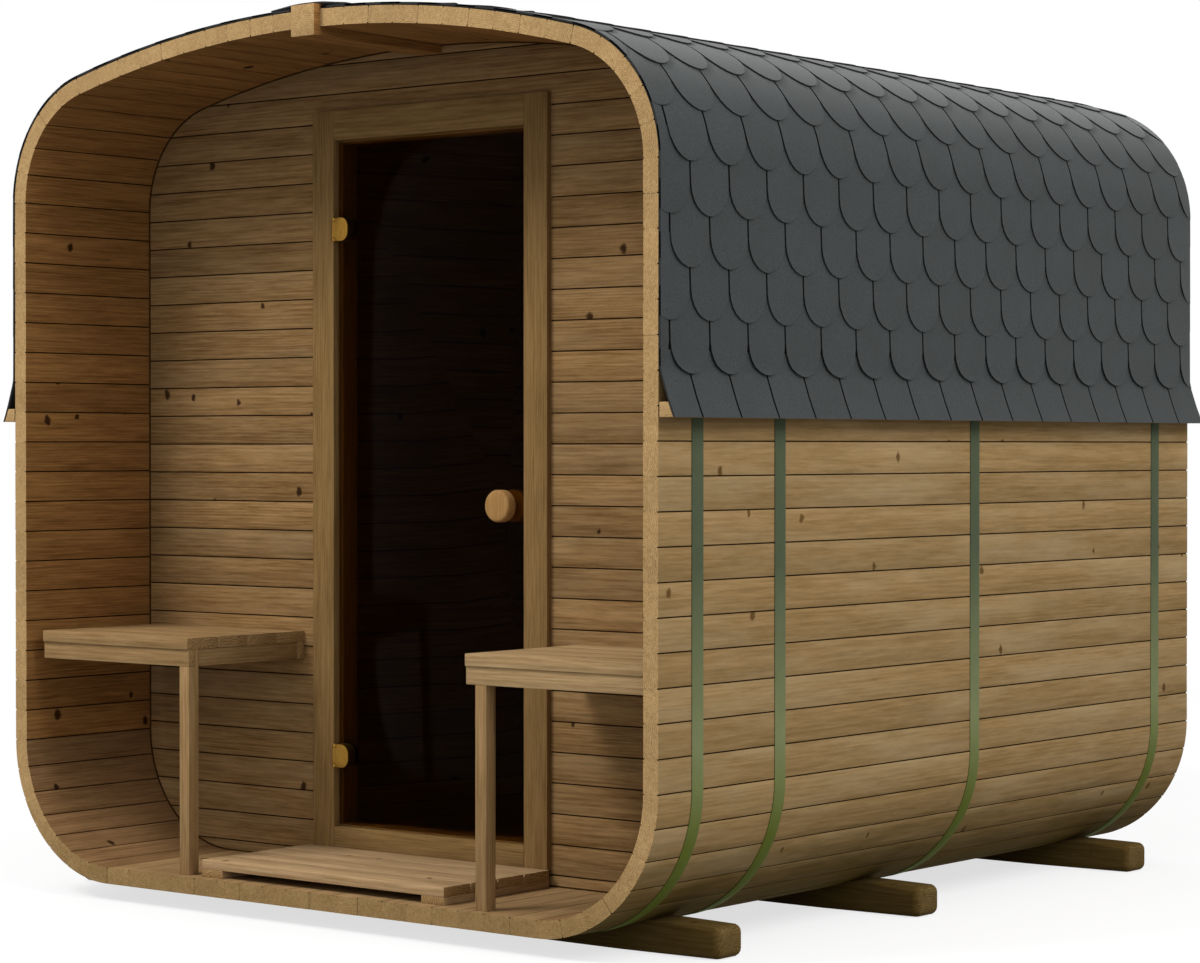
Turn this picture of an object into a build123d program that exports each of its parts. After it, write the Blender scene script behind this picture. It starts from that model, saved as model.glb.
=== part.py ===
import os
from math import asin, degrees, sqrt

from build123d import *

os.makedirs("parts", exist_ok=True)

# All sizes are in mm. X runs across the front, Y from the open porch to the back, Z up.
# Depths are measured back from the front rim of the staves.

# Hull of staves: flat floor and sides, rounded corners, gently arched crown
hull_length = 2430
hull_width = 2130
hull_height = 2170
ground_clearance = 45
stave_thickness = 42
bottom_radius = 350
top_radius = 320
crown_radius = 3300
ridge_width = 78
ridge_height = 77
ridge_rise = 12
ridge_overhang = 20

# End walls, housed in grooves across the inside of the staves
wall_thickness = 42
porch_depth = 440
back_recess = 169
groove_depth = 10
groove_fit = 0.5

# Door frame
frame_width = 790
over_door_height = 143
frame_sill_height = 39
frame_proud = 15
frame_depth = 85
jamb_face = 75
head_face = 77
threshold_face = 56
stop_width = 10
glass_setback = 15
glass_thickness = 8
glass_gap = 6
stop_gap = 5

# Door hinges and knob
hinge_axis_inset = 9
hinge_axis_proud = 6
hinge_height = 60
hinge_reach = 53
hinge_corner_radius = 24
knuckle_radius = 8
hinge_pin_radius = 3
hinge_pin_fit = 0.3
lug_height = 8
lug_fit = 1
lug_radius = 7
hinge_leaf_thickness = 3
hinge_leaf_start = 8
hinge_leaf_width = 8
back_pad_inset = 12
back_pad_thickness = 5
upper_hinge_drop = 308
lower_hinge_rise = 241
knob_radius = 40
knob_length = 40
knob_head_length = 24
knob_neck_radius = 17
knob_edge_chamfer = 5
knob_bolt_radius = 6
knob_bolt_fit = 0.5
knob_edge_distance = 61
knob_rise = 891

# Porch benches
bench_front = 22
bench_seat_height = 596
bench_board_thickness = 29
bench_board_gap = 4
bench_board_count = 4
bench_rail_height = 43
bench_rail_thickness = 24
bench_rail_setback = 3
bench_joint_fit = 0.4
bench_leg_size = 34
left_bench_spacing = 45
right_bench_spacing = 87
left_bench_wall_gap = 42
left_leg_inset = 0
right_leg_inset = 28

# Duckboard step in front of the door
step_side_lap = 9
step_front = 35
step_frame_gap = 2
step_board_thickness = 24
step_board_gap = 4
step_board_count = 4
step_runner_width = 72
step_runner_height = 19

# Steel hoops round the staves
hoop_width = 42
hoop_thickness = 2
hoop_fit = 0.3
front_hoop_depth = 143
middle_hoop_share = 0.476

# Shingled roof, carried down the sides to an eaves batten
shingle_thickness = 6
batten_width = 40
batten_height = 40
eaves_drop = 578
shingle_edge_lap = 6
flare_rise = 68
cap_half_width = 125
cap_rise = 1.2
cap_thickness = 5

# Sleepers under the hull
skid_width = 100
skid_height = 75
skid_end_radius = 22
skid_fit = 1
skid_end_distance = 275
middle_skid_share = 0.44

# Derived positions
half_length = hull_length / 2
half_width = hull_width / 2
hull_bottom = ground_clearance
hull_top = hull_bottom + hull_height
floor_height = hull_bottom + stave_thickness
bottom_centre = (half_width - bottom_radius, hull_bottom + bottom_radius)
crown_centre = (0, hull_top - crown_radius)
top_centre_x = half_width - top_radius
top_centre_rise = sqrt((crown_radius - top_radius) ** 2 - top_centre_x**2)
top_centre = (top_centre_x, crown_centre[1] + top_centre_rise)
crown_half_angle = degrees(asin(top_centre_x / (crown_radius - top_radius)))
ridge_top = hull_top + ridge_rise
ridge_bottom = ridge_top - ridge_height
wall_offset = groove_depth - groove_fit - stave_thickness
back_wall_depth = hull_length - back_recess - wall_thickness

frame_front = porch_depth - frame_proud
frame_back = frame_front + frame_depth
frame_bottom = floor_height + frame_sill_height
frame_top = hull_top - stave_thickness - over_door_height
half_frame = frame_width / 2
half_opening = half_frame - jamb_face
opening_bottom = frame_bottom + threshold_face
opening_top = frame_top - head_face
glass_front = frame_front + glass_setback
glass_back = glass_front + glass_thickness
stop_front = glass_back + stop_gap
half_glass = half_opening - glass_gap
hinge_x = hinge_axis_inset - half_opening
hinge_depth = frame_front - hinge_axis_proud
upper_hinge_height = frame_top - upper_hinge_drop
lower_hinge_height = frame_bottom + lower_hinge_rise
knob_x = half_glass - knob_edge_distance
knob_height = frame_bottom + knob_rise

inner_side_x = half_width - stave_thickness
left_bench_start = left_bench_wall_gap - inner_side_x
left_bench_end = -half_frame - left_bench_spacing
right_bench_end = half_frame + right_bench_spacing
bench_top_height = floor_height + bench_seat_height
bench_underside = bench_top_height - bench_board_thickness
bench_rail_bottom = bench_underside - bench_rail_height
bench_rail_front = bench_front + bench_rail_setback
shingle_inner = 2 * hoop_fit + hoop_thickness
shingle_outer = shingle_inner + shingle_thickness
batten_inner_x = half_width + shingle_inner
batten_outer_x = batten_inner_x + batten_width
batten_underside = top_centre[1] - eaves_drop
batten_top = batten_underside + batten_height
shingle_edge_height = batten_underside + shingle_edge_lap
flare_height = batten_top + flare_rise
porch_hoop_depth = porch_depth + wall_thickness / 2
rear_hoop_depth = back_wall_depth + wall_thickness / 2
middle_hoop_depth = porch_hoop_depth + middle_hoop_share * (rear_hoop_depth - porch_hoop_depth)
rear_skid_depth = hull_length - skid_end_distance
middle_skid_depth = skid_end_distance + middle_skid_share * (rear_skid_depth - skid_end_distance)


def behind(depth):
    """Cross-section plane at a depth behind the front rim, facing the front."""
    return Plane.XZ.offset(half_length - depth)


def block(across, depths, heights, mode=Mode.ADD):
    """A square-cut timber between limits across, behind the front rim and above the ground."""
    low = (min(across), min(depths) - half_length, min(heights))
    size = [max(limits) - min(limits) for limits in (across, depths, heights)]
    with Locations(low):
        Box(*size, align=(Align.MIN, Align.MIN, Align.MIN), mode=mode)


def hull_section(depth, offset):
    """The hull's outline, grown by an offset, on the cross-section at a depth."""
    side_x = half_width + offset
    floor_z = hull_bottom - offset
    left_bottom = (-bottom_centre[0], bottom_centre[1])
    left_top = (-top_centre[0], top_centre[1])
    bottom_arc = bottom_radius + offset
    top_arc = top_radius + offset
    corner_sweep = 90 - crown_half_angle
    with BuildSketch(behind(depth)) as section:
        with BuildLine():
            Line((left_bottom[0], floor_z), (bottom_centre[0], floor_z))
            CenterArc(bottom_centre, bottom_arc, -90, 90)
            Line((side_x, bottom_centre[1]), (side_x, top_centre[1]))
            CenterArc(top_centre, top_arc, 0, corner_sweep)
            CenterArc(crown_centre, crown_radius + offset, corner_sweep, 2 * crown_half_angle)
            CenterArc(left_top, top_arc, 90 + crown_half_angle, corner_sweep)
            Line((-side_x, left_top[1]), (-side_x, left_bottom[1]))
            CenterArc(left_bottom, bottom_arc, 180, 90)
        make_face()
    return section.sketch


def stave_arc(centre, radius, start, sweep):
    """Cross-section of a run of staves that bends about one centre."""
    with BuildSketch(behind(hull_length)) as section:
        with BuildLine():
            outside = CenterArc(centre, radius, start, sweep)
            inside = CenterArc(centre, radius - stave_thickness, start, sweep)
            Line(outside @ 0, inside @ 0)
            Line(outside @ 1, inside @ 1)
        make_face()
    return section.sketch


def cut_grooves():
    """Grooves across the inside of the staves that house the two end walls."""
    for depth in (porch_depth, back_wall_depth):
        groove = hull_section(depth + wall_thickness, groove_depth - stave_thickness)
        extrude(groove, amount=wall_thickness, mode=Mode.SUBTRACT)


def ridge_block(mode=Mode.ADD):
    """The ridge beam's outline, as long as the beam."""
    half_ridge = ridge_width / 2
    ends = (-ridge_overhang, hull_length + ridge_overhang)
    block((-half_ridge, half_ridge), ends, (ridge_bottom, ridge_top), mode=mode)


def finish(builder, label):
    """Name a finished piece and write it out."""
    builder.part.label = label
    export_step(builder.part, f"parts/{label}.step")


# Staves of the hull
with BuildPart() as floor_staves:
    floor_limits = (-bottom_centre[0], bottom_centre[0])
    block(floor_limits, (0, hull_length), (hull_bottom, floor_height))
    cut_grooves()
finish(floor_staves, "floor_staves")

with BuildPart() as lower_right_staves:
    extrude(stave_arc(bottom_centre, bottom_radius, -90, 90), amount=hull_length)
    cut_grooves()
finish(lower_right_staves, "lower_right_staves")

with BuildPart() as lower_left_staves:
    mirror(lower_right_staves.part, about=Plane.YZ)
finish(lower_left_staves, "lower_left_staves")

with BuildPart() as right_wall_staves:
    side_limits = (inner_side_x, half_width)
    block(side_limits, (0, hull_length), (bottom_centre[1], top_centre[1]))
    cut_grooves()
finish(right_wall_staves, "right_wall_staves")

with BuildPart() as left_wall_staves:
    mirror(right_wall_staves.part, about=Plane.YZ)
finish(left_wall_staves, "left_wall_staves")

with BuildPart() as upper_right_staves:
    extrude(stave_arc(top_centre, top_radius, 0, 90 - crown_half_angle), amount=hull_length)
    cut_grooves()
finish(upper_right_staves, "upper_right_staves")

with BuildPart() as upper_left_staves:
    mirror(upper_right_staves.part, about=Plane.YZ)
finish(upper_left_staves, "upper_left_staves")

with BuildPart() as right_roof_staves:
    crown = stave_arc(crown_centre, crown_radius, 90 - crown_half_angle, crown_half_angle)
    extrude(crown, amount=hull_length)
    ridge_block(mode=Mode.SUBTRACT)
    cut_grooves()
finish(right_roof_staves, "right_roof_staves")

with BuildPart() as left_roof_staves:
    mirror(right_roof_staves.part, about=Plane.YZ)
finish(left_roof_staves, "left_roof_staves")

with BuildPart() as ridge_beam:
    ridge_block()
finish(ridge_beam, "ridge_beam")

# End walls; the front one is split beside, over and under the doorway
wall_end = porch_depth + wall_thickness

with BuildPart() as front_wall_left:
    extrude(hull_section(wall_end, wall_offset), amount=wall_thickness)
    ridge_block(mode=Mode.SUBTRACT)
    block((-half_frame, half_width), (0, hull_length), (0, hull_top), mode=Mode.SUBTRACT)
finish(front_wall_left, "front_wall_left")

with BuildPart() as front_wall_right:
    mirror(front_wall_left.part, about=Plane.YZ)
finish(front_wall_right, "front_wall_right")

with BuildPart() as front_wall_over_door:
    extrude(hull_section(wall_end, wall_offset), amount=wall_thickness)
    ridge_block(mode=Mode.SUBTRACT)
    block((-half_frame, half_frame), (0, hull_length), (frame_top, hull_top), mode=Mode.INTERSECT)
finish(front_wall_over_door, "front_wall_over_door")

with BuildPart() as front_wall_sill:
    sill_bottom = hull_bottom - wall_offset
    block((-half_frame, half_frame), (porch_depth, wall_end), (sill_bottom, frame_bottom))
finish(front_wall_sill, "front_wall_sill")

with BuildPart() as back_wall:
    extrude(hull_section(back_wall_depth + wall_thickness, wall_offset), amount=wall_thickness)
    ridge_block(mode=Mode.SUBTRACT)
finish(back_wall, "back_wall")

# Door frame: rebated timbers, the glass stands in front of the stop
with BuildPart() as right_jamb:
    block((half_opening, half_frame), (frame_front, frame_back), (frame_bottom, frame_top))
    stop_limits = (half_opening - stop_width, half_opening)
    block(stop_limits, (stop_front, frame_back), (opening_bottom, opening_top))
finish(right_jamb, "right_jamb")

with BuildPart() as left_jamb:
    mirror(right_jamb.part, about=Plane.YZ)
finish(left_jamb, "left_jamb")

half_stop = half_opening - stop_width

with BuildPart() as door_head:
    block((-half_opening, half_opening), (frame_front, frame_back), (opening_top, frame_top))
    head_stop = (opening_top - stop_width, opening_top)
    block((-half_stop, half_stop), (stop_front, frame_back), head_stop)
finish(door_head, "door_head")

with BuildPart() as door_threshold:
    block((-half_opening, half_opening), (frame_front, frame_back), (frame_bottom, opening_bottom))
    sill_stop = (opening_bottom, opening_bottom + stop_width)
    block((-half_stop, half_stop), (stop_front, frame_back), sill_stop)
finish(door_threshold, "door_threshold")

# Door leaf: one sheet of glass, hung on two clamps
with BuildPart() as door_glass:
    glass_heights = (opening_bottom + glass_gap, opening_top - glass_gap)
    block((-half_glass, half_glass), (glass_front, glass_back), glass_heights)
    with BuildSketch(behind(glass_back)):
        with Locations((knob_x, knob_height)):
            Circle(knob_bolt_radius + knob_bolt_fit)
    extrude(amount=glass_thickness, mode=Mode.SUBTRACT)
finish(door_glass, "door_glass")


def turned_disc(radius, near, far):
    """A round piece on the knob's axis between two depths."""
    with BuildSketch(behind(max(near, far))) as disc:
        with Locations((knob_x, knob_height)):
            Circle(radius)
    extrude(disc.sketch, amount=abs(far - near))


def knob(face, tip):
    """A turned knob standing off one face of the glass, its head eased at the rims."""
    neck_end = tip + (face - tip) * knob_head_length / knob_length
    turned_disc(knob_radius, neck_end, tip)
    chamfer(edges().filter_by(GeomType.CIRCLE), knob_edge_chamfer)
    turned_disc(knob_neck_radius, face, neck_end)


with BuildPart() as outer_knob:
    knob(glass_front, glass_front - knob_length)
    turned_disc(knob_bolt_radius, glass_front, glass_back)
finish(outer_knob, "outer_knob")

with BuildPart() as inner_knob:
    knob(glass_back, glass_back + knob_length)
finish(inner_knob, "inner_knob")


def hinge_cylinder(radius, low, high, mode=Mode.ADD):
    """A round piece on the door's hinge axis between two heights."""
    with Locations((hinge_x, hinge_depth - half_length, low)):
        Cylinder(radius, high - low, align=(Align.CENTER, Align.CENTER, Align.MIN), mode=mode)


def clamp_outline(depth, start_x, height):
    """A pad with a straight edge at the hinge and a rounded nose over the glass."""
    pad_width = hinge_x + hinge_reach - start_x
    with BuildSketch(behind(depth)) as outline:
        with Locations((start_x, height)):
            Rectangle(pad_width, hinge_height, align=(Align.MIN, Align.CENTER))
        nose = outline.vertices().group_by(Axis.X)[-1]
        fillet(nose, hinge_corner_radius)
    return outline.sketch


def hinge_clamp(height):
    """The leaf's half of a hinge: a knuckle and front pad, and a pad behind the glass."""
    low = height - hinge_height / 2
    high = height + hinge_height / 2
    knuckle = knuckle_radius + lug_fit
    front = hinge_depth - knuckle_radius
    extrude(clamp_outline(glass_front, hinge_x, height), amount=glass_front - front)
    hinge_cylinder(knuckle_radius, low, high)
    lug_zone = (hinge_x - knuckle, hinge_x + knuckle)
    for lug_end, notch_end in ((low, low + lug_height + lug_fit), (high - lug_height - lug_fit, high)):
        block(lug_zone, (front, glass_front), (lug_end, notch_end), mode=Mode.SUBTRACT)
    hinge_cylinder(hinge_pin_radius + hinge_pin_fit, low, high, mode=Mode.SUBTRACT)
    pad_depth = glass_back + back_pad_thickness
    pad = clamp_outline(pad_depth, hinge_x + back_pad_inset, height)
    extrude(pad, amount=back_pad_thickness)


def hinge_bracket(height):
    """The frame's half of a hinge: a leaf in the rebate, two lugs and the pin."""
    low = height - hinge_height / 2
    high = height + hinge_height / 2
    leaf = (-half_opening, hinge_leaf_thickness - half_opening)
    leaf_start = hinge_depth + hinge_leaf_start
    leaf_end = leaf_start + hinge_leaf_width
    block(leaf, (leaf_start, leaf_end), (low, high))
    for lug_bottom in (low, high - lug_height):
        lug_top = lug_bottom + lug_height
        block((leaf[0], hinge_x), (leaf_start, leaf_end), (lug_bottom, lug_top))
        block((hinge_x - lug_radius, hinge_x), (hinge_depth, leaf_end), (lug_bottom, lug_top))
        hinge_cylinder(lug_radius, lug_bottom, lug_top)
    hinge_cylinder(hinge_pin_radius, low, high)


with BuildPart() as upper_hinge_clamp:
    hinge_clamp(upper_hinge_height)
finish(upper_hinge_clamp, "upper_hinge_clamp")

with BuildPart() as lower_hinge_clamp:
    hinge_clamp(lower_hinge_height)
finish(lower_hinge_clamp, "lower_hinge_clamp")

with BuildPart() as upper_hinge_bracket:
    hinge_bracket(upper_hinge_height)
finish(upper_hinge_bracket, "upper_hinge_bracket")

with BuildPart() as lower_hinge_bracket:
    hinge_bracket(lower_hinge_height)
finish(lower_hinge_bracket, "lower_hinge_bracket")


def bench_boards(start, end):
    """Boards of a bench top, laid along the bench."""
    gaps = (bench_board_count - 1) * bench_board_gap
    board_width = (porch_depth - bench_front - gaps) / bench_board_count
    for index in range(bench_board_count):
        front = bench_front + index * (board_width + bench_board_gap)
        heights = (bench_underside, bench_top_height)
        block((start, end), (front, front + board_width), heights)


def bench_rails(start, end):
    """Rails under a bench top: an apron, two end rails and a ledger on the wall."""
    heights = (bench_rail_bottom, bench_underside)
    apron_back = bench_rail_front + bench_rail_thickness
    ledger_front = porch_depth - bench_rail_thickness
    block((start, end), (bench_rail_front, apron_back), heights)
    block((start, end), (ledger_front, porch_depth), heights)
    return apron_back + bench_joint_fit, ledger_front - bench_joint_fit


def bench_leg(outer_x, inner_x):
    """A leg notched behind the apron, so the two are flush in front."""
    leg_back = bench_rail_front + bench_leg_size
    apron_back = bench_rail_front + bench_rail_thickness
    block((outer_x, inner_x), (bench_rail_front, leg_back), (floor_height, bench_rail_bottom))
    block((outer_x, inner_x), (apron_back, leg_back), (bench_rail_bottom, bench_underside))


# Left bench, with its leg at the end next to the door
left_leg_x = left_bench_end - left_leg_inset

with BuildPart() as left_bench_top:
    bench_boards(left_bench_start, left_bench_end)
finish(left_bench_top, "left_bench_top")

with BuildPart() as left_bench_rails:
    rail_front, rail_back = bench_rails(left_bench_start, left_bench_end)
    rail_heights = (bench_rail_bottom, bench_underside)
    outer_limits = (left_bench_start, left_bench_start + bench_rail_thickness)
    block(outer_limits, (rail_front, rail_back), rail_heights)
    leg_clear = bench_rail_front + bench_leg_size + bench_joint_fit
    inner_rail_x = left_bench_end - bench_rail_setback
    inner_limits = (inner_rail_x - bench_rail_thickness, inner_rail_x)
    block(inner_limits, (leg_clear, rail_back), rail_heights)
finish(left_bench_rails, "left_bench_rails")

with BuildPart() as left_bench_leg:
    bench_leg(left_leg_x - bench_leg_size, left_leg_x)
finish(left_bench_leg, "left_bench_leg")

# Right bench, with its leg a little in from the end next to the door
right_leg_x = right_bench_end + right_leg_inset

with BuildPart() as right_bench_top:
    bench_boards(right_bench_end, inner_side_x)
finish(right_bench_top, "right_bench_top")

with BuildPart() as right_bench_rails:
    rail_front, rail_back = bench_rails(right_bench_end, inner_side_x)
    inner_limits = (right_bench_end, right_bench_end + bench_rail_thickness)
    outer_limits = (inner_side_x - bench_rail_thickness, inner_side_x)
    block(inner_limits, (rail_front, rail_back), rail_heights)
    block(outer_limits, (rail_front, rail_back), rail_heights)
finish(right_bench_rails, "right_bench_rails")

with BuildPart() as right_bench_leg:
    bench_leg(right_leg_x, right_leg_x + bench_leg_size)
finish(right_bench_leg, "right_bench_leg")

# Duckboard step
half_step = half_frame + step_side_lap
step_back = frame_front - step_frame_gap
step_board_bottom = floor_height + step_runner_height

with BuildPart() as step_runners:
    for side in (-1, 1):
        limits = (side * half_step, side * (half_step - step_runner_width))
        block(limits, (step_front, step_back), (floor_height, step_board_bottom))
finish(step_runners, "step_runners")

with BuildPart() as step_boards:
    step_gaps = (step_board_count - 1) * step_board_gap
    step_board_width = (step_back - step_front - step_gaps) / step_board_count
    for index in range(step_board_count):
        board_front = step_front + index * (step_board_width + step_board_gap)
        board_depths = (board_front, board_front + step_board_width)
        board_heights = (step_board_bottom, step_board_bottom + step_board_thickness)
        block((-half_step, half_step), board_depths, board_heights)
finish(step_boards, "step_boards")


def hoop(depth):
    """A flat steel band round the staves, its ends at the ridge beam's sides."""
    back = depth + hoop_width / 2
    extrude(hull_section(back, hoop_fit + hoop_thickness), amount=hoop_width)
    extrude(hull_section(back, hoop_fit), amount=hoop_width, mode=Mode.SUBTRACT)
    ridge_block(mode=Mode.SUBTRACT)


with BuildPart() as front_hoop:
    hoop(front_hoop_depth)
finish(front_hoop, "front_hoop")

with BuildPart() as porch_hoop:
    hoop(porch_hoop_depth)
finish(porch_hoop, "porch_hoop")

with BuildPart() as middle_hoop:
    hoop(middle_hoop_depth)
finish(middle_hoop, "middle_hoop")

with BuildPart() as rear_hoop:
    hoop(rear_hoop_depth)
finish(rear_hoop, "rear_hoop")

# Eaves battens over the hoops
with BuildPart() as right_eaves_batten:
    block((batten_inner_x, batten_outer_x), (0, hull_length), (batten_underside, batten_top))
finish(right_eaves_batten, "right_eaves_batten")

with BuildPart() as left_eaves_batten:
    mirror(right_eaves_batten.part, about=Plane.YZ)
finish(left_eaves_batten, "left_eaves_batten")


# Shingles follow the crown and corner, drop down the side and flare over the batten
with BuildPart() as right_shingles:
    corner_sweep = 90 - crown_half_angle
    skin_inner_x = batten_outer_x + hoop_fit
    skin_outer_x = skin_inner_x + shingle_thickness
    with BuildSketch(behind(hull_length)):
        with BuildLine():
            inner_crown = CenterArc(
                crown_centre, crown_radius + shingle_inner, corner_sweep, crown_half_angle
            )
            inner_corner = CenterArc(top_centre, top_radius + shingle_inner, 0, corner_sweep)
            outer_crown = CenterArc(
                crown_centre, crown_radius + shingle_outer, corner_sweep, crown_half_angle
            )
            outer_corner = CenterArc(top_centre, top_radius + shingle_outer, 0, corner_sweep)
            Line(inner_crown @ 1, outer_crown @ 1)
            Polyline(
                inner_corner @ 0,
                (half_width + shingle_inner, flare_height),
                (skin_inner_x, batten_top),
                (skin_inner_x, shingle_edge_height),
                (skin_outer_x, shingle_edge_height),
                (skin_outer_x, batten_top + shingle_thickness / 2),
                (half_width + shingle_outer, flare_height + shingle_thickness / 2),
                outer_corner @ 0,
            )
        make_face()
    extrude(amount=hull_length)
    ridge_block(mode=Mode.SUBTRACT)
finish(right_shingles, "right_shingles")

with BuildPart() as left_shingles:
    mirror(right_shingles.part, about=Plane.YZ)
finish(left_shingles, "left_shingles")

# A cap strip bends over the ridge beam and laps on both sides of the roof
with BuildPart() as ridge_cap:
    skin_radius = crown_radius + shingle_outer + hoop_fit
    cap_edge = crown_centre[1] + sqrt(skin_radius**2 - cap_half_width**2)
    cap_crown = ridge_top + cap_rise
    with BuildSketch(behind(hull_length)):
        with BuildLine():
            under = ThreePointArc(
                (-cap_half_width, cap_edge), (0, cap_crown), (cap_half_width, cap_edge)
            )
            over = ThreePointArc(
                (-cap_half_width, cap_edge + cap_thickness),
                (0, cap_crown + cap_thickness),
                (cap_half_width, cap_edge + cap_thickness),
            )
            Line(under @ 0, over @ 0)
            Line(under @ 1, over @ 1)
        make_face()
    extrude(amount=hull_length)
finish(ridge_cap, "ridge_cap")


def skid(depth):
    """A sleeper across the hull, with rounded ends and a seat cut to the hull's underside."""
    limits = (depth - skid_width / 2, depth + skid_width / 2)
    block((-half_width, half_width), limits, (0, skid_height))
    fillet(edges().filter_by(Axis.Z), skid_end_radius)
    seat = (-bottom_centre[0], bottom_centre[0])
    block(seat, limits, (hull_bottom, skid_height), mode=Mode.SUBTRACT)
    for side, outward in ((-1, Align.MAX), (1, Align.MIN)):
        with BuildSketch(behind(limits[1])) as corner:
            with Locations((side * bottom_centre[0], bottom_centre[1])):
                Circle(bottom_radius + skid_fit)
                Rectangle(hull_width, hull_height, align=(outward, Align.CENTER), mode=Mode.INTERSECT)
        extrude(corner.sketch, amount=skid_width, mode=Mode.SUBTRACT)


with BuildPart() as front_skid:
    skid(skid_end_distance)
finish(front_skid, "front_skid")

with BuildPart() as middle_skid:
    skid(middle_skid_depth)
finish(middle_skid, "middle_skid")

with BuildPart() as rear_skid:
    skid(rear_skid_depth)
finish(rear_skid, "rear_skid")
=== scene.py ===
import math
import random

import bmesh
import bpy
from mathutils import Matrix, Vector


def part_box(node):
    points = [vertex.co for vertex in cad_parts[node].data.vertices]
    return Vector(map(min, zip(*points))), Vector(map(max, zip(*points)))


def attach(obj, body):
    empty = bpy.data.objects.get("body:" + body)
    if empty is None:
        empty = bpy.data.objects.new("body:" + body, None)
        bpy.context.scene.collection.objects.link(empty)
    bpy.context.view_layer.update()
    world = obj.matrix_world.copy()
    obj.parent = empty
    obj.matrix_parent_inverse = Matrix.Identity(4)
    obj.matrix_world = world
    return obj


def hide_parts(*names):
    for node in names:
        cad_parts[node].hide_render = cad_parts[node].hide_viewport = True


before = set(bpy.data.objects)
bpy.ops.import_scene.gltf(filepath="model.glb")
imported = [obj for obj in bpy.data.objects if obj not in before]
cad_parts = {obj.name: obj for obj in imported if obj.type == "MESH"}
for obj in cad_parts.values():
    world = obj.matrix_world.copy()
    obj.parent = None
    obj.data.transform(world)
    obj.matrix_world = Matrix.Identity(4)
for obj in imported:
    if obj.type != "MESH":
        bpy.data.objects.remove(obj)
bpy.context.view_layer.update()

# Sleepers: three sawn softwood timbers laid across under the hull, with rounded ends and a seat
# cut to the hull's curve. They lie on the ground, so they have weathered darker than the rest.
chance = random.Random(41)
sleeper_edge = 0.006
end_round = 0.0225
end_wear = 0.019
weld = 0.00002
near = 0.0001
level = 0.1
flat_turn = math.radians(1)
crisp_turn = math.radians(35)
smooth_turn = math.radians(38)
end_tilt = 0.75
log_reach = 0.09
log_length = 6
pith_near = 0.03
pith_far = 0.12


def clear_selection():
    if bpy.context.object and bpy.context.object.mode != "OBJECT":
        bpy.ops.object.mode_set(mode="OBJECT")
    bpy.ops.object.select_all(action="DESELECT")


def edit_all():
    """Opens the active piece for editing, with all of it selected."""
    bpy.ops.object.mode_set(mode="EDIT")
    bpy.ops.mesh.select_all(action="SELECT")


def end_edit():
    bpy.ops.object.mode_set(mode="OBJECT")


def finish_with(piece, kind, **settings):
    """Adds a modifier to the active piece, and applies it."""
    step = piece.modifiers.new(kind.lower(), kind)
    for name, value in settings.items():
        setattr(step, name, value)
    bpy.ops.object.modifier_apply(modifier=step.name)


def linear(shade):
    """An sRGB hex colour as the linear colour that a socket takes."""
    parts = [int(shade[place:place + 2], 16) / 255 for place in (1, 3, 5)]
    return [part / 12.92 if part < 0.04045 else ((part + 0.055) / 1.055) ** 2.4 for part in parts] + [1]


def add(tree, kind, sockets=None, **settings):
    """A node with its settings; a socket gets a value, or a link from another node's output."""
    made = tree.nodes.new(kind)
    for name, value in settings.items():
        setattr(made, name, value)
    for name, value in (sockets or {}).items():
        if isinstance(value, bpy.types.NodeSocket):
            tree.links.new(value, made.inputs[name])
        else:
            made.inputs[name].default_value = value
    return made


def new_material(name):
    material = bpy.data.materials.new(name)
    material.use_nodes = True
    material.node_tree.nodes.clear()
    return material, material.node_tree


def dress(mesh, *finishes):
    """Gives a mesh its materials, in place of any that it had."""
    mesh.materials.clear()
    for finish in finishes:
        mesh.materials.append(finish)


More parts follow.
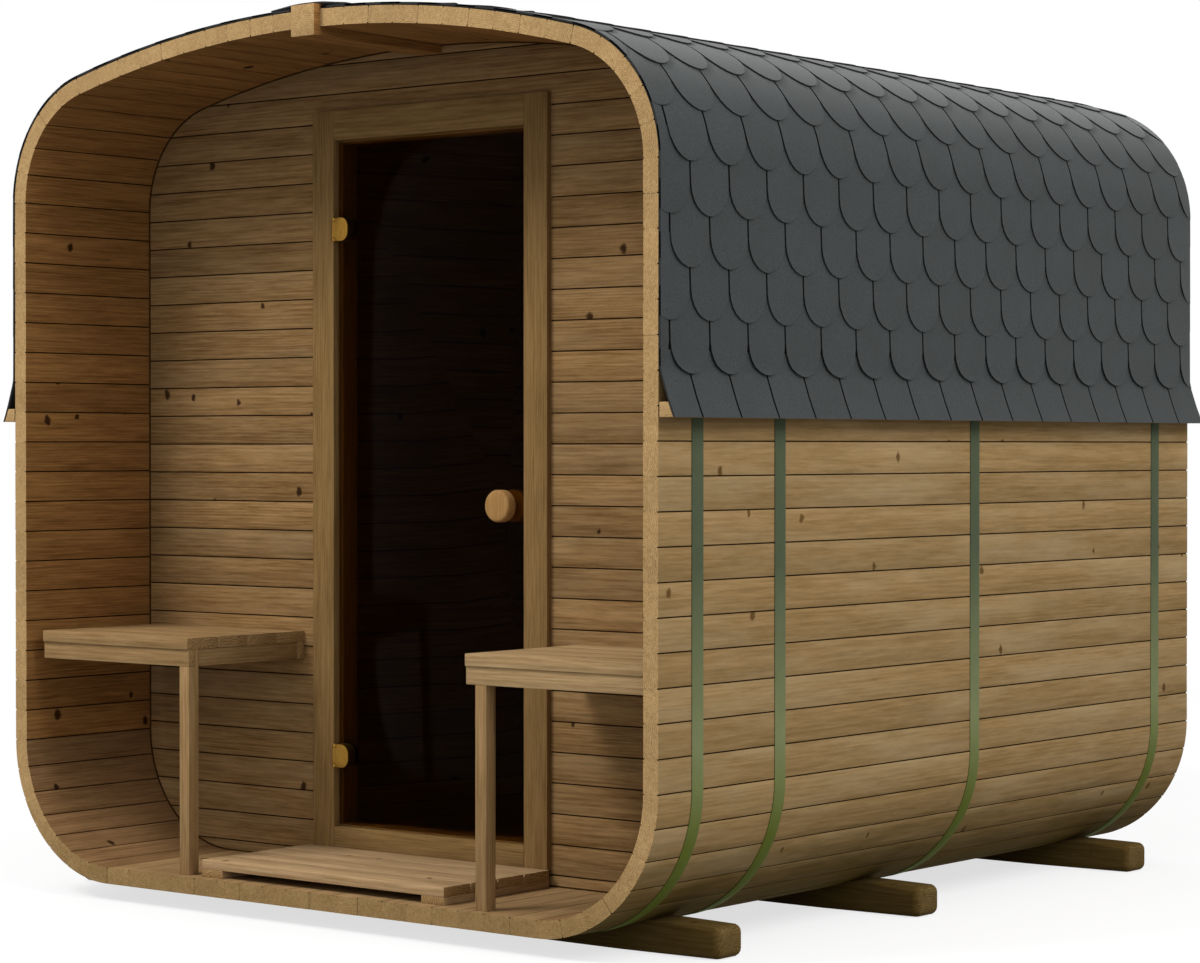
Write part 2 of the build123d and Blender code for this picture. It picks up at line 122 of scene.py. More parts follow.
def pine(name, spring, summer, knot, swing=0.10, ring=0.007, banding=0.24, knots=0.72,
         bleach=0.0, damp_and_painted_shade=0.0):
    """Planed softwood: growth rings as soft bands along the board, streaks, dark knots, and a tone
    of its own for each board. The grain attribute is the place in the board, in metres: across,
    along and through it. Rings are drawn 5 to 9 mm apart, coarser than real, so that they show.
    Bleach is how far sun has greyed it in patches, and the last setting is how far it darkens towards the
    ground: real damp on the sleepers, painted shade under the hull's curve."""
    wave_length = 0.314
    streak_width = 0.05
    fibre_width = 0.007
    patch_width = 0.13
    ragged_width = 0.014
    fibre_pull = (1, 0.045, 1)
    streak_pull = (1, 0.16, 1)
    streak_share = 0.95
    fibre_share = 2.05
    balance = -0.98 - banding / 2
    knots_a_metre = (4.3, 5.4, 1)
    knot_wobble = (0.07, 0.07, 0)
    knot_halo = 2.1
    shade_and_damp_drift = -0.16
    material, tree = new_material(name)
    grain = add(tree, "ShaderNodeAttribute", attribute_name="grain").outputs["Vector"]
    board = add(tree, "ShaderNodeAttribute", attribute_name="board").outputs["Fac"]
    drawn = add(tree, "ShaderNodeMapping", {"Vector": grain, "Scale": fibre_pull}).outputs[0]
    short = add(tree, "ShaderNodeMapping", {"Vector": grain, "Scale": streak_pull}).outputs[0]
    rings = add(tree, "ShaderNodeTexWave", {"Vector": drawn, "Scale": wave_length / ring,
                "Distortion": 11.0, "Detail": 4.0, "Detail Scale": 0.6, "Detail Roughness": 0.65},
                wave_type="RINGS", rings_direction="Y", wave_profile="SIN").outputs["Fac"]
    broad = add(tree, "ShaderNodeTexNoise", {"Vector": short, "Scale": 1 / streak_width, "Detail": 6,
                "Roughness": 0.66}).outputs["Fac"]
    fine = add(tree, "ShaderNodeTexNoise", {"Vector": drawn, "Scale": 1 / fibre_width, "Detail": 5,
               "Roughness": 0.75}).outputs["Fac"]
    part = add(tree, "ShaderNodeMath", {0: rings, 1: banding, 2: balance},
               operation="MULTIPLY_ADD").outputs[0]
    part = add(tree, "ShaderNodeMath", {0: broad, 1: streak_share, 2: part},
               operation="MULTIPLY_ADD").outputs[0]
    part = add(tree, "ShaderNodeMath", {0: fine, 1: fibre_share, 2: part},
               operation="MULTIPLY_ADD", use_clamp=True).outputs[0]
    wood = add(tree, "ShaderNodeMix", {"Factor": part, "A": linear(spring), "B": linear(summer)},
               data_type="RGBA").outputs["Result"]
    if bleach:
        patch = add(tree, "ShaderNodeTexNoise", {"Vector": short, "Scale": 1 / patch_width, "Detail": 6,
                    "Roughness": 0.7}).outputs["Fac"]
        patch = add(tree, "ShaderNodeMapRange", {"Value": patch, "From Min": 0.46, "From Max": 0.72,
                    "To Max": bleach}).outputs[0]
        wood = add(tree, "ShaderNodeMix", {"Factor": patch, "A": wood, "B": linear("#9d8a69")},
                   data_type="RGBA").outputs["Result"]
    flat = add(tree, "ShaderNodeMapping", {"Vector": grain, "Scale": knots_a_metre}).outputs[0]
    ragged = add(tree, "ShaderNodeTexNoise", {"Vector": grain, "Scale": 1 / ragged_width,
                 "Detail": 2}).outputs["Color"]
    flat = add(tree, "ShaderNodeVectorMath", {0: ragged, 1: knot_wobble, 2: flat},
               operation="MULTIPLY_ADD").outputs[0]
    cells = add(tree, "ShaderNodeTexVoronoi", {"Vector": flat, "Scale": 1.0, "Randomness": 1.0},
                voronoi_dimensions="2D").outputs
    lot = add(tree, "ShaderNodeSeparateColor", {"Color": cells["Color"]}).outputs
    chosen = add(tree, "ShaderNodeMath", {0: lot["Red"], 1: knots}, operation="GREATER_THAN").outputs[0]
    size = add(tree, "ShaderNodeMapRange", {"Value": lot["Green"], "To Min": 0.016,
               "To Max": 0.042}).outputs[0]
    edge = add(tree, "ShaderNodeMath", {0: size, 1: knot_halo}, operation="MULTIPLY").outputs[0]
    dark = add(tree, "ShaderNodeMapRange", {"Value": cells["Distance"], "From Min": size,
               "From Max": edge, "To Min": 0.9, "To Max": 0.0}, interpolation_type="SMOOTHSTEP").outputs[0]
    dark = add(tree, "ShaderNodeMath", {0: dark, 1: chosen}, operation="MULTIPLY").outputs[0]
    wood = add(tree, "ShaderNodeMix", {"Factor": dark, "A": wood, "B": linear(knot)},
               data_type="RGBA").outputs["Result"]
    # Darker towards the ground: real damp on the sleepers, painted shade where the hull curves under.
    if damp_and_painted_shade:
        spot = add(tree, "ShaderNodeTexCoord").outputs["Object"]
        height = add(tree, "ShaderNodeSeparateXYZ", {"Vector": spot}).outputs["Z"]
        height = add(tree, "ShaderNodeMath", {0: broad, 1: shade_and_damp_drift, 2: height},
                     operation="MULTIPLY_ADD").outputs[0]
        damp_and_shade_mask = add(tree, "ShaderNodeMapRange", {"Value": height, "From Min": -0.03, "From Max": 0.22,
                  "To Min": damp_and_painted_shade, "To Max": 0.0}, interpolation_type="SMOOTHSTEP").outputs[0]
        wood = add(tree, "ShaderNodeMix", {"Factor": damp_and_shade_mask, "A": wood, "B": linear("#46370a")},
                   data_type="RGBA").outputs["Result"]
    tone = add(tree, "ShaderNodeMapRange", {"Value": board, "To Min": 1 - swing,
               "To Max": 1 + swing}).outputs[0]
    wood = add(tree, "ShaderNodeHueSaturation", {"Color": wood, "Value": tone}).outputs[0]
    rough = add(tree, "ShaderNodeMapRange", {"Value": fine, "To Min": 0.72, "To Max": 0.95}).outputs[0]
    relief = add(tree, "ShaderNodeBump", {"Height": part, "Strength": 0.4, "Distance": 0.0008}).outputs[0]
    surface = add(tree, "ShaderNodeBsdfPrincipled", {"Base Color": wood, "Roughness": rough,
                  "Specular IOR Level": 0.04, "Normal": relief})
    add(tree, "ShaderNodeOutputMaterial", {"Surface": surface.outputs[0]})
    return material


def pieces_of(mesh):
    """The vertices of each separate board in a mesh."""
    shape = bmesh.new()
    shape.from_mesh(mesh)
    shape.verts.ensure_lookup_table()
    seen = set()
    boards = []
    for start in shape.verts:
        if start.index in seen:
            continue
        seen.add(start.index)
        board = [start]
        for vertex in board:
            for edge in vertex.link_edges:
                other = edge.other_vert(vertex)
                if other.index not in seen:
                    seen.add(other.index)
                    board.append(other)
        boards.append([vertex.index for vertex in board])
    shape.free()
    return boards


def saw(centre):
    """A board's middle, its place in the log, and its tone among the others."""
    across = chance.uniform(-log_reach, log_reach)
    along = chance.uniform(-log_length, log_length)
    through = chance.uniform(pith_near, pith_far)
    return centre, (across, along, through), chance.random()


def lay_grain(piece, woods, axes=None, rows=()):
    """Gives each board its own cut of the log, lengthwise unless axes say otherwise, with the end
    wood on the faces across it. A board that goes on in the next piece takes its cut from rows."""
    mesh = piece.data
    grain = [0.0] * (3 * len(mesh.vertices))
    tone = [0.0] * len(mesh.vertices)
    lengthwise = [0] * len(mesh.vertices)
    for board in pieces_of(mesh):
        spots = [mesh.vertices[place].co for place in board]
        low = [min(spot[axis] for spot in spots) for axis in (0, 1, 2)]
        high = [max(spot[axis] for spot in spots) for axis in (0, 1, 2)]
        through, across, along = axes or sorted((0, 1, 2), key=lambda axis: high[axis] - low[axis])
        centre, cut, shade = saw((low[across] + high[across]) / 2)
        if rows:
            centre, cut, shade = min(rows, key=lambda row: abs(row[0] - centre))
        for place in board:
            spot = mesh.vertices[place].co
            grain[3 * place] = spot[across] - centre + cut[0]
            grain[3 * place + 1] = spot[along] + cut[1]
            grain[3 * place + 2] = spot[through] - (low[through] + high[through]) / 2 + cut[2]
            tone[place] = shade
            lengthwise[place] = along
    mesh.attributes.new("grain", "FLOAT_VECTOR", "POINT").data.foreach_set("vector", grain)
    mesh.attributes.new("board", "FLOAT", "POINT").data.foreach_set("value", tone)
    dress(mesh, *woods)
    for face in mesh.polygons:
        across_grain = abs(face.normal[lengthwise[face.vertices[0]]]) > end_tilt
        face.material_index = 1 if across_grain else 0


def ease_edges(piece, edge):
    """Rounds the sharp edges of the active piece, and shades the roundings smooth."""
    finish_with(piece, "BEVEL", width=edge, segments=2, angle_limit=crisp_turn)
    bpy.ops.object.shade_smooth_by_angle(angle=smooth_turn)


def shaped_copy(name, node, edge):
    """A copy of a solid as one clean mesh, its edges eased as a plane or a file would."""
    clear_selection()
    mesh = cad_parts[node].data.copy()
    piece = bpy.data.objects.new(name, mesh)
    bpy.context.scene.collection.objects.link(piece)
    bpy.context.view_layer.objects.active = piece
    piece.select_set(True)
    bpy.ops.mesh.customdata_custom_splitnormals_clear()
    edit_all()
    bpy.ops.mesh.remove_doubles(threshold=weld)
    bpy.ops.mesh.dissolve_limited(angle_limit=flat_turn)
    end_edit()
    if edge:
        ease_edges(piece, edge)
    return piece


def choose(test, kind="FACE"):
    """Selects the faces, or edges, of the piece in edit mode whose middle and direction pass."""
    bpy.ops.mesh.select_mode(type=kind)
    bpy.ops.mesh.select_all(action="DESELECT")
    shape = bmesh.from_edit_mesh(bpy.context.object.data)
    shape.normal_update()
    if kind == "FACE":
        for face in shape.faces:
            face.select_set(test(face.calc_center_median(), face.normal))
    else:
        for edge in shape.edges:
            first, last = edge.verts
            edge.select_set(test((first.co + last.co) / 2, (last.co - first.co).normalized()))
    bmesh.update_edit_mesh(bpy.context.object.data)


def fit(piece, slot, *nodes, body="cabin"):
    """The piece moves with a body, and stands for these solids."""
    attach(piece, body)
    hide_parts(*nodes)


# Rough sawn pine, grey-brown from ground moisture: dull, with dark streaks and paler worn ends.
sleeper_wood = pine("weathered_sawn_pine", "#6b5637", "#3f301b", "#2a2014", swing=0.12, ring=0.009,
                    damp_and_painted_shade=0.5)
sleeper_end = pine("weathered_sawn_pine_end", "#745f3d", "#46361f", "#32261a", ring=0.006, banding=0.8,
                   knots=1, damp_and_painted_shade=0.4)
for place in ("front", "middle", "rear"):
    sleeper = shaped_copy(place + "_sleeper", place + "_skid", 0)
    low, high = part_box(place + "_skid")
    bpy.ops.object.mode_set(mode="EDIT")
    choose(lambda middle, way: abs(middle.x) > high.x - end_round and abs(way.z) < level
           and min(abs(middle.z - low.z), abs(middle.z - high.z)) < near, "EDGE")
    bpy.ops.mesh.bevel(offset=end_wear, segments=4, affect="EDGES")
    end_edit()
    ease_edges(sleeper, sleeper_edge)
    for vertex in sleeper.data.vertices:
        vertex.co.z = max(vertex.co.z, low.z)
    edit_all()
    bpy.ops.mesh.remove_doubles(threshold=near)
    bpy.ops.mesh.dissolve_degenerate(threshold=near)
    end_edit()
    lay_grain(sleeper, (sleeper_wood, sleeper_end))
    fit(sleeper, "skid_wood", place + "_skid")

# Hull staves: planed thermo-treated pine boards 42 mm thick, laid lengthwise round a rounded square
# and drawn together by the hoops. Each board has eased edges, so joints show as fine dark slots.
floor_low, floor_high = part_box("floor_staves")
wall_low, wall_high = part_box("right_wall_staves")
half_floor = floor_high.x
floor_height = floor_low.z
half_width = wall_high.x
wall_start = wall_low.z
hull_thickness = wall_high.x - wall_low.x
hull_length = floor_high.y - floor_low.y
low_radius = half_width - half_floor
top_radius = 0.320
crown_radius = 3.300
crown_centre = -1.085
crown_lean = math.asin((half_width - top_radius) / (crown_radius - top_radius))
wall_end = crown_centre + (crown_radius - top_radius) * math.cos(crown_lean)
low_arc = low_radius * math.pi / 2
top_turn = math.pi / 2 - crown_lean
top_arc = top_radius * top_turn
ridge_half_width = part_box("ridge_beam")[1].x
joint_slot = 0.0031
joint_depth = 0.003
stave_lap = 0.0003
board_edge = 0.0010
eased_depth = 0.0012
cut_margin = 0.003
end_lag = 0.0012
straight = 0.9
inward = -0.3
hair = 0.00001


def hull_point(reach, rise):
    """A point rise above the hull's outside, reach along its outline from the middle of the floor."""
    side = -1 if reach < 0 else 1
    left = abs(reach)
    if left < half_floor:
        return side * left, floor_height - rise
    left -= half_floor
    if left < low_arc:
        turn = left / low_radius
        radius = low_radius + rise
        return side * (half_floor + radius * math.sin(turn)), wall_start - radius * math.cos(turn)
    left -= low_arc
    if left < wall_end - wall_start:
        return side * (half_width + rise), wall_start + left
    left -= wall_end - wall_start
    if left < top_arc:
        turn = left / top_radius
        radius = top_radius + rise
        x = half_width - top_radius + radius * math.cos(turn)
        return side * x, wall_end + radius * math.sin(turn)
    turn = top_turn + (left - top_arc) / crown_radius
    radius = crown_radius + rise
    return side * radius * math.cos(turn), crown_centre + radius * math.sin(turn)


def planed_board(name, width, length, thickness, core_gap, cuts=0):
    """One board, across X and along Y: a full-width core, and two faces set in by half a joint."""
    clear_selection()
    bpy.ops.mesh.primitive_cube_add(size=1)
    board = bpy.context.object
    board.name = name
    bpy.ops.transform.resize(value=(width - core_gap, length, thickness - 2 * joint_depth))
    bpy.ops.object.transform_apply(location=False, rotation=False, scale=True)
    bpy.ops.object.mode_set(mode="EDIT")
    for side in (1, -1):
        choose(lambda middle, normal: normal.z * side > straight)
        bpy.ops.mesh.extrude_region_move(TRANSFORM_OT_translate={"value": (0, 0, 0)})
        bpy.ops.transform.resize(value=((width - joint_slot) / (width - core_gap), 1, 1))
        bpy.ops.mesh.extrude_region_move(TRANSFORM_OT_translate={"value": (0, 0, side * joint_depth)})
    choose(lambda middle, normal: abs(middle.y) > length / 2 - hair)
    bpy.ops.mesh.dissolve_faces()
    choose(lambda middle, way: abs(abs(middle.z) - thickness / 2) < hair and abs(way.y) > straight, "EDGE")
    bpy.ops.mesh.bevel(offset=board_edge, segments=2, affect="EDGES")
    for cut in range(cuts):
        bpy.ops.mesh.select_all(action="SELECT")
        spot = ((cut + 1) / (cuts + 1) - 0.5) * (width - joint_slot - cut_margin)
        bpy.ops.mesh.bisect(plane_co=(spot, 0, 0), plane_no=(1, 0, 0))
    end_edit()
    return board


def row_of(piece, count, step):
    """Repeats the active piece in a row, each copy one step from the last."""
    finish_with(piece, "ARRAY", use_relative_offset=False, use_constant_offset=True,
                constant_offset_displace=step, count=count)


def turn_out(piece):
    """Points every face outwards and shades the eased edges smooth."""
    clear_selection()
    bpy.context.view_layer.objects.active = piece
    piece.select_set(True)
    edit_all()
    bpy.ops.mesh.normals_make_consistent(inside=False)
    end_edit()
    bpy.ops.object.shade_smooth_by_angle(angle=smooth_turn)


def stave_run(node, inside, start, end, count, cuts=0):
    """A run of staves between two places on the hull's outline."""
    pitch = (end - start) / count
    staves = planed_board(node.replace("_staves", "_boards"), pitch, hull_length, hull_thickness,
                          -stave_lap, cuts)
    row_of(staves, count, (pitch, 0, 0))
    for board in pieces_of(staves.data):
        lag = chance.uniform(0, end_lag)
        for place in board:
            spot = staves.data.vertices[place].co
            spot.y -= math.copysign(lag, spot.y)
    woods = (stave_wood, stave_end, inside, joint_wood)
    lay_grain(staves, woods)
    for face in staves.data.polygons:
        level_or_upright = abs(face.normal.x) > straight or abs(face.normal.z) > straight
        in_joint = abs(face.center.z) < hull_thickness / 2 - eased_depth and level_or_upright
        if face.material_index == 0 and in_joint:
            face.material_index = woods.index(joint_wood)
        elif face.material_index == 0 and face.normal.z < inward:
            face.material_index = woods.index(inside)
    for vertex in staves.data.vertices:
        reach = start + pitch / 2 + vertex.co.x
        vertex.co.x, vertex.co.z = hull_point(reach, vertex.co.z - hull_thickness / 2)
    turn_out(staves)
    fit(staves, "stave_wood", node)


# Thermo-treated pine, planed and oiled: an even honey brown with soft darker bands and small knots,
# paled by the sun. Its sawn ends are paler and show the rings as arcs. Inside, a warmer, redder brown
# is painted shade; it is duller in the lower corners, and palest on the floor as painted light from above.
# The staves and their sawn ends darken towards the ground: painted shade under the hull's lower curve.
stave_wood = pine("thermo_pine_staves", "#917650", "#705936", "#4e3819", swing=0.08, knots=0.78,
                  bleach=0.55, damp_and_painted_shade=0.95)
stave_end = pine("thermo_pine_end_grain", "#bb9b6b", "#8f714a", "#6a4f2e", swing=0.06, ring=0.005,
                 banding=0.45, knots=1, damp_and_painted_shade=0.35)
joint_wood = pine("thermo_pine_joint", "#3e2a12", "#241608", "#170d05")
# Inside faces: a warmer, redder copy that is painted shade, a duller one for the lower corners, and a paler
# one for the floor that is painted light.
inside_shade_wood = pine("thermo_pine_inside_painted_shade", "#9f7443", "#694623", "#1e0d05", swing=0.09, knots=0.62)
corner_wood = pine("thermo_pine_lower_corner", "#94724e", "#654a2c", "#1e0d05", swing=0.08, knots=0.75)
floor_light_wood = pine("thermo_pine_floor_painted_light", "#a3855d", "#785c3b", "#2e1c0c", swing=0.07, knots=0.8)
wall_from = half_floor + low_arc
corner_from = wall_from + wall_end - wall_start
crown_from = corner_from + top_arc
crown_to = crown_from + crown_radius * (crown_lean - math.asin(ridge_half_width / crown_radius))
stave_run("floor_staves", floor_light_wood, -half_floor, half_floor, 18)
for side, name in ((1, "right"), (-1, "left")):
    for node, inside, first, last, count, cuts in (
        (f"lower_{name}_staves", corner_wood, half_floor, wall_from, 7, 3),
        (f"{name}_wall_staves", inside_shade_wood, wall_from, corner_from, 18, 0),
        (f"upper_{name}_staves", inside_shade_wood, corner_from, crown_from, 5, 4),
        (f"{name}_roof_staves", inside_shade_wood, crown_from, crown_to, 10, 0),
    ):
        start, end = sorted((side * first, side * last))
        stave_run(node, inside, start, end, count, cuts)

# Ridge beam: a planed pine bar along the crown between the two roof halves, its ends proud of them.
# It closes the ring of staves at the top.
ridge_edge = 0.003
ridge = shaped_copy("ridge_bar", "ridge_beam", ridge_edge)
# The beam takes the inside wood, whose warmer brown is painted shade.
lay_grain(ridge, (inside_shade_wood, stave_end))
fit(ridge, "beam_wood", "ridge_beam")

# End walls: level tongued boards of the same pine, slid into grooves across the staves. The front
# wall is cut round the door frame, and the back wall is whole. A thin dark strip in the groove is painted
# shadow.
wall_pitch = 0.0753
wall_top_joint = 1.923
wall_board_count = 31
boards_over_joint = 6.5
wall_board_length = 2.4
wall_board_thickness = 0.0416
wall_board_fit = 0.0003
bead_width = 0.005
bead_sink = 0.001
bead_proud = 0.0012
bead_steps = 240


def boarded_wall(name, nodes):
    """A stack of level boards, cut to the outline of the wall's solids. Over the door frame each
    board runs right across, and beside it the boards are cut separately."""
    frame_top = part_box("door_head")[1].z
    foot = wall_top_joint - wall_pitch * (wall_board_count - boards_over_joint)
    through = [saw(foot + wall_pitch * number) for number in range(wall_board_count)]
    woods = (wall_wood, stave_end, joint_wood)
    for node in nodes:
        low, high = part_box(node)
        middle = (low.y + high.y) / 2
        boards = planed_board(name + node.split("wall")[1], wall_pitch, wall_board_length,
                              wall_board_thickness, wall_board_fit)
        row_of(boards, wall_board_count, (wall_pitch, 0, 0))
        for vertex in boards.data.vertices:
            across, along, depth = vertex.co
            vertex.co = (along, middle - depth, foot + across)
        turn_out(boards)
        outline = shaped_copy("wall_outline", node, 0)
        clear_selection()
        bpy.context.view_layer.objects.active = boards
        boards.select_set(True)
        finish_with(boards, "BOOLEAN", operation="INTERSECT", solver="EXACT", object=outline)
        bpy.data.objects.remove(outline)
        rows = [board if board[0] > frame_top - wall_pitch / 2 else saw(board[0]) for board in through]
        lay_grain(boards, woods, axes=(1, 2, 0), rows=rows)
        for face in boards.data.polygons:
            deep = abs(face.center.y - middle) < wall_board_thickness / 2 - eased_depth
            in_joint = deep and abs(face.normal.y) + abs(face.normal.z) > straight
            if face.material_index == 0 and in_joint:
                face.material_index = woods.index(joint_wood)
        bpy.ops.object.shade_smooth_by_angle(angle=smooth_turn)
        fit(boards, "wall_wood", node)


# The same thermo-treated pine, out of the weather: warmer, with knots a little closer together.
# The strip is the same wood, so dark that it reads as the groove's shadow: painted shadow.
wall_wood = pine("thermo_pine_wall", "#9a7a51", "#644827", "#241107", swing=0.13, knots=0.58, bleach=0.3)
groove_shadow_wood = pine("pine_painted_groove_shadow", "#4c3216", "#301e0c", "#1c1209", knots=1)
boarded_wall("front_boards", ("front_wall_left", "front_wall_right", "front_wall_over_door",
             "front_wall_sill"))
boarded_wall("rear_boards", ("back_wall",))
# A dark strip round the edge of each end wall, where the groove's shadow falls: painted shadow.
for place, node, way in (("front", "front_wall_left", -1), ("rear", "back_wall", 1)):
    low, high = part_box(node)
    face = low.y if way < 0 else high.y
    clear_selection()
    bpy.ops.mesh.primitive_grid_add(x_subdivisions=bead_steps, y_subdivisions=1, size=1)
    bead = bpy.context.object
    bead.name = place + "_groove_shadow_strip"
    for vertex in bead.data.vertices:
        depth = bead_sink - hull_thickness - (vertex.co.y + 0.5) * bead_width
        x, z = hull_point(vertex.co.x * 2 * crown_to, depth)
        vertex.co = (x, face + way * bead_proud, z)
    finish_with(bead, "SOLIDIFY", thickness=2 * bead_proud, offset=0)
    lay_grain(bead, (groove_shadow_wood, groove_shadow_wood), axes=(1, 2, 0))
    turn_out(bead)
    fit(bead, "wall_wood")

# Door frame: four planed and rebated pine bars screwed together, proud of the wall boards.
# The jambs stand the full height, with the head and the threshold between them.
frame_edge = 0.002
# Knot-free thermo-treated pine: straight and even, a shade darker than the wall.
frame_wood = pine("thermo_pine_frame", "#8f7249", "#69502d", "#4a3219", swing=0.05, knots=1)
frame_end = pine("thermo_pine_frame_end", "#8e6f46", "#6d5130", "#4a3219", swing=0.05, banding=0.8, knots=1)
for name, node in (
    ("right_frame_post", "right_jamb"),
    ("left_frame_post", "left_jamb"),
    ("frame_head", "door_head"),
    ("frame_threshold", "door_threshold"),
):
    bar = shaped_copy(name, node, frame_edge)
    lay_grain(bar, (frame_wood, frame_end))
    fit(bar, "frame_wood", node)

# Door leaf: one 8 mm sheet of toughened bronze glass with ground edges, hung in the frame's rebate.
# The cabin behind is unlit, so the glass reads almost black, and amber against the light.
glass_edge = 0.001
film_width = 0.35
glass, tree = new_material("bronze_toughened_glass")
spot = add(tree, "ShaderNodeTexCoord").outputs["Object"]
film = add(tree, "ShaderNodeTexNoise", {"Vector": spot, "Scale": 1 / film_width,
           "Detail": 3}).outputs["Fac"]
gloss = add(tree, "ShaderNodeMapRange", {"Value": film, "To Min": 0.02, "To Max": 0.07}).outputs[0]
surface = add(tree, "ShaderNodeBsdfPrincipled", {"Base Color": linear("#aa926b"), "Roughness": gloss,
              "IOR": 1.06, "Transmission Weight": 1.0, "Specular IOR Level": 0.3})
add(tree, "ShaderNodeOutputMaterial", {"Surface": surface.outputs[0]})
sheet = shaped_copy("glass_sheet", "door_glass", glass_edge)
dress(sheet.data, glass)
fit(sheet, "tinted_glass", "door_glass", body="door")

# Door knobs: one turned from pine on each side of the glass, screwed together through it. Each is a
# short neck that opens into a flat round head with a rounded rim.
neck_radius = 0.017
head_radius = 0.040
knob_steps = 72
# How far out from the glass, as a share of the knob, and the radius turned there.
turned_profile = (
    (0.28, 0.0165),
    (0.34, 0.020),
    (0.40, 0.038),
    (0.43, head_radius),
    (0.86, head_radius),
    (0.93, 0.0386),
    (0.975, 0.0355),
    (0.985, 0.0335),
    (1.0, 0.020),
)
# Turned and oiled pine: pale and smooth, with fine rings across the face.
knob_wood = pine("turned_pine", "#a88352", "#8c673b", "#7a5530", swing=0.03, ring=0.005, knots=0.97)
for node in ("outer_knob", "inner_knob"):
    low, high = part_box(node)
    middle = ((low.x + high.x) / 2, (low.z + high.z) / 2)
    seat, front = (high.y, low.y) if node == "outer_knob" else (low.y, high.y)
    reach = front - seat
    clear_selection()
    bpy.ops.mesh.primitive_circle_add(vertices=knob_steps, radius=neck_radius, fill_type="NGON",
                                      location=(middle[0], seat, middle[1]), rotation=(math.pi / 2, 0, 0))
    knob = bpy.context.object
    knob.name = node.replace("knob", "turned_knob")
    bpy.ops.object.transform_apply(location=True, rotation=True, scale=True)
    edit_all()
    radius = neck_radius
    for share, wide in turned_profile:
        bpy.ops.mesh.extrude_region_move(TRANSFORM_OT_translate={"value": (0, 0, 0)})
        shape = bmesh.from_edit_mesh(knob.data)
        for vertex in shape.verts:
            if vertex.select:
                vertex.co.x = middle[0] + (vertex.co.x - middle[0]) * wide / radius
                vertex.co.z = middle[1] + (vertex.co.z - middle[1]) * wide / radius
                vertex.co.y = seat + reach * share
        bmesh.update_edit_mesh(knob.data)
        radius = wide
    end_edit()
    lay_grain(knob, (knob_wood, knob_wood), axes=(1, 0, 2))
    turn_out(knob)
    fit(knob, "knob_wood", node, body="door")

# Hinges: cast brass, polished and since dulled by hands. A clamp grips the glass and turns on a pin,
# held by a bracket that is screwed into the frame's rebate.
brass_edge = 0.0008
tarnish_width = 0.012
# Handled brass: a soft golden shine, browner and duller in small clouds where it has tarnished.
brass, tree = new_material("polished_brass")
spot = add(tree, "ShaderNodeTexCoord").outputs["Object"]
cloud = add(tree, "ShaderNodeTexNoise", {"Vector": spot, "Scale": 1 / tarnish_width,
            "Detail": 4}).outputs["Fac"]
tint = add(tree, "ShaderNodeMix", {"Factor": cloud, "A": linear("#9c7632"), "B": linear("#7f5d24")},
           data_type="RGBA").outputs["Result"]
gloss = add(tree, "ShaderNodeMapRange", {"Value": cloud, "To Min": 0.28, "To Max": 0.45}).outputs[0]
surface = add(tree, "ShaderNodeBsdfPrincipled", {"Base Color": tint, "Roughness": gloss, "Metallic": 1.0})
add(tree, "ShaderNodeOutputMaterial", {"Surface": surface.outputs[0]})
for place in ("upper", "lower"):
    for name, body in (("clamp", "door"), ("bracket", "cabin")):
        node = f"{place}_hinge_{name}"
        hinge = shaped_copy(f"{place}_brass_{name}", node, brass_edge)
        dress(hinge.data, brass)
        fit(hinge, "hinge_brass", node, body=body)

# Porch benches: planed pine boards nailed on a frame of rails, held by the hull at one end and by
# a square leg at the other.
bench_edge = 0.0014
seat_close = 0.0018
# Thermo-treated pine, worn matt. The right bench is paler than the left: painted light, as more light falls
# on it.
bench_wood = pine("thermo_pine_bench", "#a0825a", "#785c39", "#40290f", swing=0.07, knots=0.8)
rail_wood = pine("thermo_pine_rail", "#a0825a", "#785c39", "#40290f", swing=0.05, knots=1)
right_bench_painted_light = pine("pine_painted_light", "#b2966e", "#896e4a", "#40290f", swing=0.05, knots=0.85)
bench_end = pine("thermo_pine_bench_end", "#a08259", "#7c5f3a", "#50371a", swing=0.06, banding=0.8, knots=1)
for side in ("left", "right"):
    for name in ("top", "rails", "leg"):
        node = f"{side}_bench_{name}"
        part = shaped_copy(f"{side}_seat_{name}", node, bench_edge)
        for board in pieces_of(part.data) if name == "top" else ():
            spots = [part.data.vertices[place].co for place in board]
            middle = (min(spot.y for spot in spots) + max(spot.y for spot in spots)) / 2
            for spot in spots:
                spot.y += math.copysign(seat_close, spot.y - middle)
        wood = bench_wood if name == "top" else rail_wood
        # The right bench's seat and rails take the paler copy: painted light.
        lay_grain(part, (right_bench_painted_light if side == "right" and name != "leg" else wood, bench_end))
        fit(part, "bench_wood", node)

# Door step: a loose duckboard of pine slats nailed across two runners. It lies on the porch floor
# in front of the door.
step_edge = 0.0018
# Untreated pine, trodden pale and dull, with few knots.
step_wood = pine("trodden_pine", "#b79a74", "#8a6d4a", "#4a321a", swing=0.06, knots=0.8)
for name in ("runners", "boards"):
    node = "step_" + name
    part = shaped_copy("duckboard_" + name, node, step_edge)
    lay_grain(part, (step_wood, bench_end))
    fit(part, "step_wood", node)

# Hoops: four flat steel bands round the hull, drawn tight and let in under the roof. Their green is a
# painted reflection of green ground, grey-green high up and paler lower down, with painted shade in olive
# near the ground.
hoop_fit = 0.0003
hoop_thickness = 0.002
hoop_steps = 260
rolled_edge = 0.0006
dust_width = 0.03
hoop_painted_reflection, tree = new_material("steel_band_painted_reflection")
spot = add(tree, "ShaderNodeTexCoord").outputs["Object"]
height = add(tree, "ShaderNodeSeparateXYZ", {"Vector": spot}).outputs["Z"]
